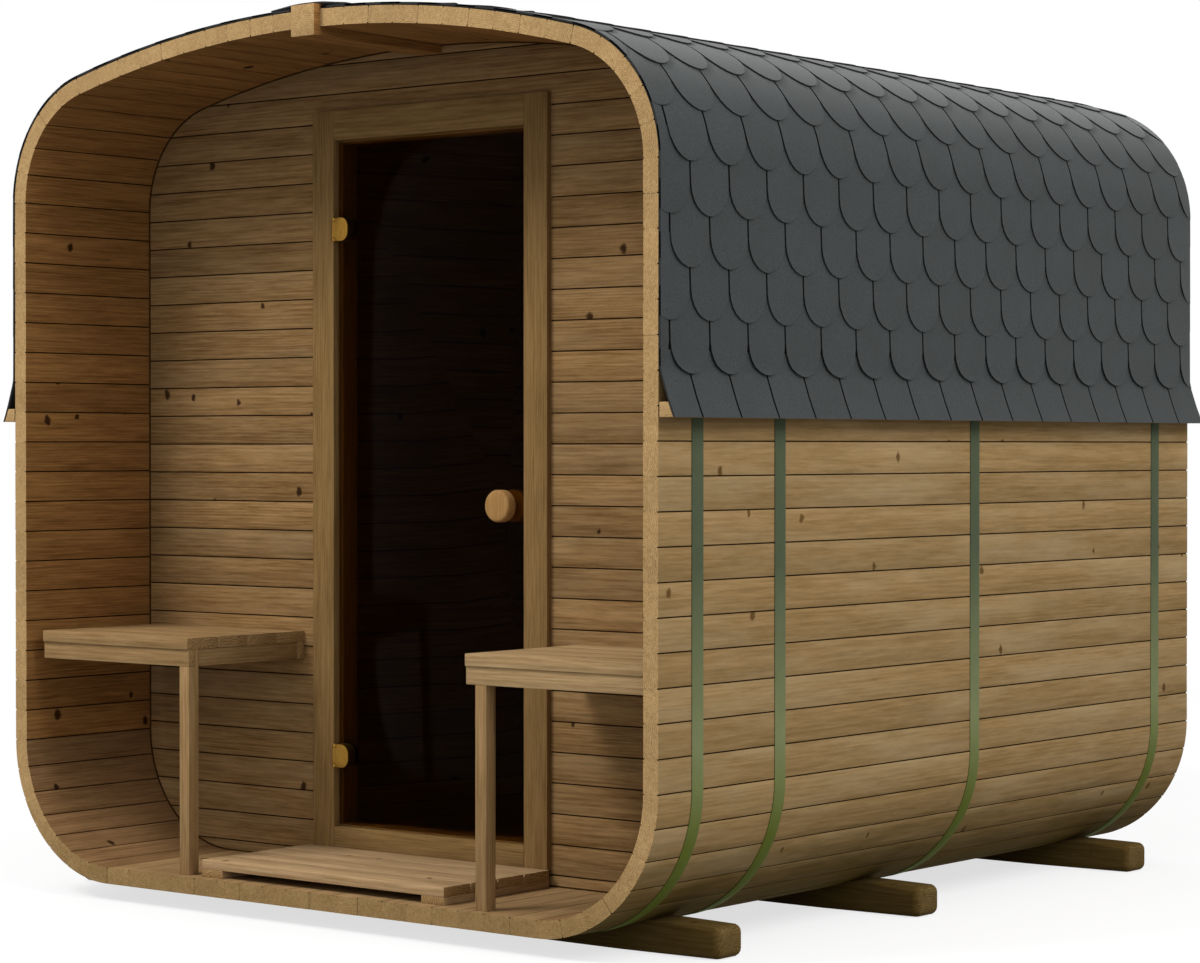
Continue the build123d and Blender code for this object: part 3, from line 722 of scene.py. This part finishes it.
# Paler lower down, where more green ground is reflected: painted reflection.
ground_reflection_fade = add(tree, "ShaderNodeMapRange", {"Value": height, "From Min": 0.48, "From Max": 0.90}).outputs[0]
tint = add(tree, "ShaderNodeMix", {"Factor": ground_reflection_fade, "A": linear("#6c724e"), "B": linear("#454d3a")},
           data_type="RGBA").outputs["Result"]
# Darker olive near the ground, under the hull's curve: painted shade.
painted_shade_near_ground = add(tree, "ShaderNodeMapRange", {"Value": height, "From Min": 0.26, "From Max": 0.50, "To Min": 1.0,
            "To Max": 0.0}).outputs[0]
tint = add(tree, "ShaderNodeMix", {"Factor": painted_shade_near_ground, "A": tint, "B": linear("#525b22")},
           data_type="RGBA").outputs["Result"]
dust = add(tree, "ShaderNodeTexNoise", {"Vector": spot, "Scale": 1 / dust_width,
           "Detail": 4}).outputs["Fac"]
dull = add(tree, "ShaderNodeMapRange", {"Value": dust, "To Min": 0.88, "To Max": 1.12}).outputs[0]
tint = add(tree, "ShaderNodeHueSaturation", {"Color": tint, "Value": dull}).outputs[0]
gloss = add(tree, "ShaderNodeMapRange", {"Value": dust, "To Min": 0.55, "To Max": 0.80}).outputs[0]
surface = add(tree, "ShaderNodeBsdfPrincipled", {"Base Color": tint, "Roughness": gloss,
              "Specular IOR Level": 0.04})
add(tree, "ShaderNodeOutputMaterial", {"Surface": surface.outputs[0]})
for place in ("front", "porch", "middle", "rear"):
    node = place + "_hoop"
    low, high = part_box(node)
    width = high.y - low.y
    clear_selection()
    bpy.ops.mesh.primitive_grid_add(x_subdivisions=hoop_steps, y_subdivisions=1, size=1)
    band = bpy.context.object
    band.name = place + "_band"
    for vertex in band.data.vertices:
        reach = vertex.co.x * 2 * crown_to
        x, z = hull_point(reach, hoop_fit)
        vertex.co = (x, (low.y + high.y) / 2 + vertex.co.y * width, z)
    finish_with(band, "SOLIDIFY", thickness=hoop_thickness, offset=-1)
    finish_with(band, "BEVEL", width=rolled_edge, segments=2)
    turn_out(band)
    dress(band.data, hoop_painted_reflection)
    fit(band, "hoop_steel", node)

# Eaves battens: pine laths nailed along both sides, their outer faces planed to a slope. They kick
# the lowest shingles out, so that rain drips clear of the wall.
lath_edge = 0.002
lath_foot = 1.2282
lath_reach = 1.0925
lath_top = 1.2624
slope_out = 0.924
slope_up = 0.383
for side in ("left", "right"):
    node = side + "_eaves_batten"
    way = 1 if side == "right" else -1
    lath = shaped_copy(side + "_eaves_lath", node, 0)
    edit_all()
    bpy.ops.mesh.bisect(plane_co=(way * lath_reach, 0, lath_top), plane_no=(way * slope_out, 0, slope_up),
                        clear_outer=True, use_fill=True)
    bpy.ops.mesh.select_all(action="SELECT")
    bpy.ops.mesh.bisect(plane_co=(0, 0, lath_foot), plane_no=(0, 0, -1), clear_outer=True, use_fill=True)
    end_edit()
    ease_edges(lath, lath_edge)
    lay_grain(lath, (stave_wood, stave_end))
    fit(lath, "beam_wood", node)

# Shingles: strips of mineral-faced bitumen felt with round tabs, nailed over a plain underlay in
# lapped courses from the eaves up, each half a tab along. Their cut edges are black bitumen.
tab_width = 0.146
tab_gap = 0.0062
tab_length = 0.193
tab_turns = (14, 28, 43, 58, 74, 90)
tab_folds = (0.02, 0.045, 0.095, 0.115, 0.135, 0.155, 0.175)
tab_tip = 0.12
tab_nudge = 0.0012
fold_margin = 0.005
first_tab = 0.03
tabs_a_course = 19
exposure = 0.118
first_rise = 0.098
starter_gap = 0.006
starter_length = 0.150
felt = 0.0044
lift = 0.0070
verge = 0.05
verge_lift = 0.15
top_lift = 0.5
top_courses = 3
ridge_gap = 0.004
shingle_base = 0.0024
sliver = 0.0002
underlay_base = 0.0006
underlay_felt = 0.0014
underlay_folds = 90
underlay_side = 0.004
underlay_end = 0.008
eaves_height = 1.2284
flare_height = 1.345
flare_run = flare_height - eaves_height
flare_out = 0.0405
flare_curve = 1.25
face_up = 0.7
eaves_reach = wall_from + eaves_height - wall_start
roof_low, roof_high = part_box("right_shingles")


def granules(name, dark, pale, dust):
    """Crushed slate pressed into felt: a dull dark grey with finer and coarser specks, and a tone
    of its own for each tab. The grit is drawn at 4 mm, coarser than real, so that it shows."""
    grit_width = 0.004
    cloud_width = 0.09
    cloud_share = 0.8
    mean_shade = 0.60
    material, tree = new_material(name)
    spot = add(tree, "ShaderNodeTexCoord").outputs["Object"]
    tab = add(tree, "ShaderNodeAttribute", attribute_name="board").outputs["Fac"]
    grit = add(tree, "ShaderNodeTexNoise", {"Vector": spot, "Scale": 1 / grit_width,
               "Detail": 2}).outputs["Fac"]
    cloud = add(tree, "ShaderNodeTexNoise", {"Vector": spot, "Scale": 1 / cloud_width, "Detail": 6,
                "Roughness": 0.66}).outputs["Fac"]
    speck = add(tree, "ShaderNodeMapRange", {"Value": grit, "From Min": 0.3, "From Max": 0.7}).outputs[0]
    tint = add(tree, "ShaderNodeMix", {"Factor": speck, "A": linear(dark), "B": linear(pale)},
               data_type="RGBA").outputs["Result"]
    shade = add(tree, "ShaderNodeMapRange", {"Value": tab, "To Min": -0.09, "To Max": 0.09}).outputs[0]
    shade = add(tree, "ShaderNodeMath", {0: cloud, 1: cloud_share, 2: shade},
                operation="MULTIPLY_ADD").outputs[0]
    shade = add(tree, "ShaderNodeMath", {0: shade, 1: mean_shade}, operation="ADD").outputs[0]
    tint = add(tree, "ShaderNodeHueSaturation", {"Color": tint, "Value": shade}).outputs[0]
    relief = add(tree, "ShaderNodeBump", {"Height": grit, "Strength": 0.5, "Distance": 0.001}).outputs[0]
    surface = add(tree, "ShaderNodeBsdfPrincipled", {"Base Color": tint, "Roughness": 0.8, "Normal": relief,
                  "Specular IOR Level": 0.4, "Sheen Weight": dust, "Sheen Roughness": 0.38})
    add(tree, "ShaderNodeOutputMaterial", {"Surface": surface.outputs[0]})
    return material


slate_grit = granules("slate_grey_felt", "#111515", "#212727", 0.28)
bitumen = granules("cut_bitumen", "#050505", "#0c0c0d", 0.0)


def felt_tab(name, width, length, round_end):
    """One tab lying flat, across X and up Y from its lower end at 0, its lower end round or square."""
    clear_selection()
    bpy.ops.mesh.primitive_plane_add(size=1)
    tab = bpy.context.object
    tab.name = name
    bpy.ops.transform.resize(value=(width, length, 1))
    bpy.ops.transform.translate(value=(0, length / 2, 0))
    bpy.ops.object.transform_apply(location=True, rotation=False, scale=True)
    bpy.ops.object.mode_set(mode="EDIT")
    half = width / 2
    rows = []
    if round_end:
        rows = [half * (1 - math.cos(math.radians(turn))) for turn in tab_turns]
    rows += [row for row in tab_folds if not rows or row > rows[-1]]
    for row in rows:
        if row < length - fold_margin:
            bpy.ops.mesh.select_all(action="SELECT")
            bpy.ops.mesh.bisect(plane_co=(0, row, 0), plane_no=(0, 1, 0))
    end_edit()
    if round_end:
        for vertex in tab.data.vertices:
            if vertex.co.y < half:
                drop = min(1 - vertex.co.y / half, 1)
                wide = max(math.sqrt(1 - drop * drop), tab_tip)
                vertex.co.x = math.copysign(half * wide, vertex.co.x)
    finish_with(tab, "SOLIDIFY", thickness=felt, offset=1)
    return tab


def trim_felt(spot, way):
    """Cuts the active felt off past a line, and closes the cut."""
    edit_all()
    bpy.ops.mesh.bisect(plane_co=spot, plane_no=way, clear_outer=True, use_fill=True)
    end_edit()


def course(tab, shift):
    """A course of tabs along the roof, starting shift before its front verge, trimmed at both verges."""
    row_of(tab, tabs_a_course, (tab_width, 0, 0))
    for vertex in tab.data.vertices:
        vertex.co.x += roof_low.y + first_tab - shift
    trim_felt((roof_low.y, 0, 0), (-1, 0, 0))
    trim_felt((roof_high.y, 0, 0), (1, 0, 0))


def tone_tabs(piece):
    """Gives each tab a tone of its own."""
    tones = [0.0] * len(piece.data.vertices)
    for tab in pieces_of(piece.data):
        shade = chance.random()
        for place in tab:
            tones[place] = shade
    piece.data.attributes.new("board", "FLOAT", "POINT").data.foreach_set("value", tones)


def roof_point(reach, rise):
    """A point over the roof deck: the shingles lie on the hull, and kick out over the batten."""
    x, z = hull_point(reach, rise)
    kick = min(max((flare_height - z) / flare_run, 0), 1)
    return x + flare_out * kick ** flare_curve, z


clear_selection()
bpy.ops.mesh.primitive_grid_add(x_subdivisions=1, y_subdivisions=underlay_folds, size=1)
underlay = bpy.context.object
bpy.ops.transform.resize(value=(roof_high.y - roof_low.y - underlay_side,
                                crown_to - eaves_reach - underlay_end, 1))
bpy.ops.transform.translate(value=(0, (crown_to + eaves_reach) / 2, underlay_base))
bpy.ops.object.transform_apply(location=True, rotation=False, scale=True)
finish_with(underlay, "SOLIDIFY", thickness=underlay_felt, offset=1)
starter = felt_tab("starter", tab_width - starter_gap, starter_length, False)
course(starter, tab_width)
for vertex in starter.data.vertices:
    vertex.co.y += eaves_reach
    vertex.co.z += shingle_base
roof_courses = [underlay, starter]
first_course = eaves_reach + first_rise
course_count = int((crown_to - first_course) / exposure) + 1
for number in range(course_count):
    row = felt_tab("course", tab_width - tab_gap, tab_length, True)
    course(row, tab_width if number % 2 else tab_width / 2)
    foot = first_course + number * exposure
    rise = lift * (top_lift if number > course_count - top_courses else 1)
    for tab in pieces_of(row.data):
        nudge = chance.uniform(-tab_nudge, tab_nudge)
        for place in tab:
            spot = row.data.vertices[place].co
            inset = min(spot.x - roof_low.y, roof_high.y - spot.x)
            held = max(min(inset / verge, 1), verge_lift)
            spot.z += shingle_base + rise * held * (1 - spot.y / tab_length)
            spot.y += foot + nudge
    if foot + tab_length > crown_to - ridge_gap:
        trim_felt((0, crown_to - ridge_gap, 0), (0, 1, 0))
    roof_courses.append(row)
clear_selection()
for row in roof_courses:
    row.select_set(True)
bpy.context.view_layer.objects.active = underlay
bpy.ops.object.join()
roof = bpy.context.object
edit_all()
bpy.ops.mesh.dissolve_degenerate(threshold=sliver)
end_edit()
dress(roof.data, slate_grit, bitumen)
turn_out(roof)
for face in roof.data.polygons:
    over_underlay = face.center.z > underlay_base + underlay_felt + near
    face.material_index = 0 if abs(face.normal.z) > face_up and over_underlay else 1
tone_tabs(roof)
left_roof = bpy.data.objects.new("left_felt", roof.data.copy())
bpy.context.scene.collection.objects.link(left_roof)
roof.name = "right_felt"
for skin, side, node in ((roof, 1, "right_shingles"), (left_roof, -1, "left_shingles")):
    for vertex in skin.data.vertices:
        along, reach, rise = vertex.co
        x, z = roof_point(reach, rise)
        vertex.co = (side * x, along, z)
    turn_out(skin)
    fit(skin, "shingle", node)

# Ridge cap: short pieces of the same felt bent over the ridge beam, each lapped on the next and
# nailed, so that they cover the top edges of both roof sides.
cap_low, cap_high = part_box("ridge_cap")
cap_length = 0.235
cap_exposure = 0.1462
cap_count = int((cap_high.y - cap_low.y) / cap_exposure) + 1
cap_folds = 10
cap_side = 0.002
cap_edge_drop = 0.0096
cap_felt = 0.0030
cap_lift = 0.0026
cap_fit = 0.0003
clear_selection()
bpy.ops.mesh.primitive_grid_add(x_subdivisions=cap_folds, y_subdivisions=1, size=1)
cap = bpy.context.object
cap.name = "ridge_felt"
bpy.ops.transform.resize(value=(cap_high.x - cap_low.x - cap_side, cap_length, 1))
bpy.ops.object.transform_apply(location=False, rotation=False, scale=True)
finish_with(cap, "SOLIDIFY", thickness=cap_felt, offset=1)
row_of(cap, cap_count, (0, cap_exposure, 0))
crest = cap_high.z - cap_felt - cap_lift - cap_fit
for number, tab in enumerate(pieces_of(cap.data)):
    for place in tab:
        spot = cap.data.vertices[place].co
        from_front = spot.y + cap_length / 2 - number * cap_exposure
        spot.z += cap_lift * (1 - from_front / cap_length)
        spot.y = min(cap_low.y + spot.y + cap_length / 2, cap_high.y)
        past = max(abs(spot.x) - ridge_half_width, 0) / (cap_high.x - ridge_half_width)
        spot.z += crest - cap_edge_drop * past
tone_tabs(cap)
turn_out(cap)
dress(cap.data, slate_grit, bitumen)
for face in cap.data.polygons:
    face.material_index = 0 if abs(face.normal.z) > face_up else 1
fit(cap, "shingle", "ridge_cap")

# Studio: a plain white floor that keeps the shadow, a white sky all round, and two large soft lamps,
# one high on the right and one high in front, a little to the left. The camera stands off the front
# right corner, a little over a metre up.
floor_size = 80
aim_height = 1.1
lamps = (
    ("side", (6.5, -0.4, 6.0), 4.5, 450),
    ("front", (-2.7, -6.2, 8.1), 3.0, 610),
)


def seen_plainly(tree):
    """1 for what the camera sees, also by way of metal or glass, and 0 for what lights the object."""
    ray = add(tree, "ShaderNodeLightPath").outputs
    seen = add(tree, "ShaderNodeMath", {0: ray["Is Camera Ray"], 1: ray["Is Glossy Ray"]},
               operation="MAXIMUM").outputs[0]
    return add(tree, "ShaderNodeMath", {0: seen, 1: ray["Is Transmission Ray"]},
               operation="MAXIMUM").outputs[0]


scene = bpy.context.scene
clear_selection()
bpy.ops.mesh.primitive_plane_add(size=floor_size)
floor = bpy.context.object
floor.name = "studio_floor"
# Matt white paper, turning to pure white away from the object so that no horizon shows.
paper, tree = new_material("white_floor")
seen = seen_plainly(tree)
spot = add(tree, "ShaderNodeTexCoord").outputs["Object"]
away = add(tree, "ShaderNodeVectorMath", {0: spot}, operation="LENGTH").outputs["Value"]
white = add(tree, "ShaderNodeMapRange", {"Value": away, "From Min": 3.0, "From Max": 9.0,
            "To Min": 0.7}).outputs[0]
share = add(tree, "ShaderNodeMath", {0: seen, 1: white}, operation="MULTIPLY").outputs[0]
shade = add(tree, "ShaderNodeMix", {"Factor": seen, "A": linear("#929292"), "B": linear("#f0f0f0")},
            data_type="RGBA").outputs["Result"]
matt = add(tree, "ShaderNodeBsdfDiffuse", {"Color": shade}).outputs[0]
glow = add(tree, "ShaderNodeEmission", {"Color": (1, 1, 1, 1), "Strength": 1.0}).outputs[0]
mixed = add(tree, "ShaderNodeMixShader", {0: share, 1: matt, 2: glow}).outputs[0]
add(tree, "ShaderNodeOutputMaterial", {"Surface": mixed})
dress(floor.data, paper)

sky = bpy.data.worlds.new("studio_sky")
scene.world = sky
sky.use_nodes = True
tree = sky.node_tree
tree.nodes.clear()
strength = add(tree, "ShaderNodeMapRange", {"Value": seen_plainly(tree), "To Min": 0.8,
               "To Max": 1.0}).outputs[0]
dome = add(tree, "ShaderNodeBackground", {"Color": (1, 1, 1, 1), "Strength": strength}).outputs[0]
add(tree, "ShaderNodeOutputWorld", {"Surface": dome})

for name, spot, size, power in lamps:
    lamp = bpy.data.lights.new(name, "AREA")
    lamp.size = size
    lamp.energy = power
    holder = bpy.data.objects.new(name, lamp)
    scene.collection.objects.link(holder)
    holder.location = spot
    tilt = math.atan2(math.hypot(spot[0], spot[1]), spot[2] - aim_height)
    holder.rotation_euler = (tilt, 0, math.atan2(spot[1], spot[0]) + math.pi / 2)

camera = bpy.data.cameras.new("camera")
camera.lens = 94.3
camera.sensor_width = 36
camera.sensor_fit = "HORIZONTAL"
stand = bpy.data.objects.new("camera", camera)
scene.collection.objects.link(stand)
stand.location = (5.290, -6.693, 1.165)
stand.rotation_euler = (math.radians(90 - 0.647), 0, math.radians(38.7))
scene.camera = stand
scene.view_settings.view_transform = "Standard"
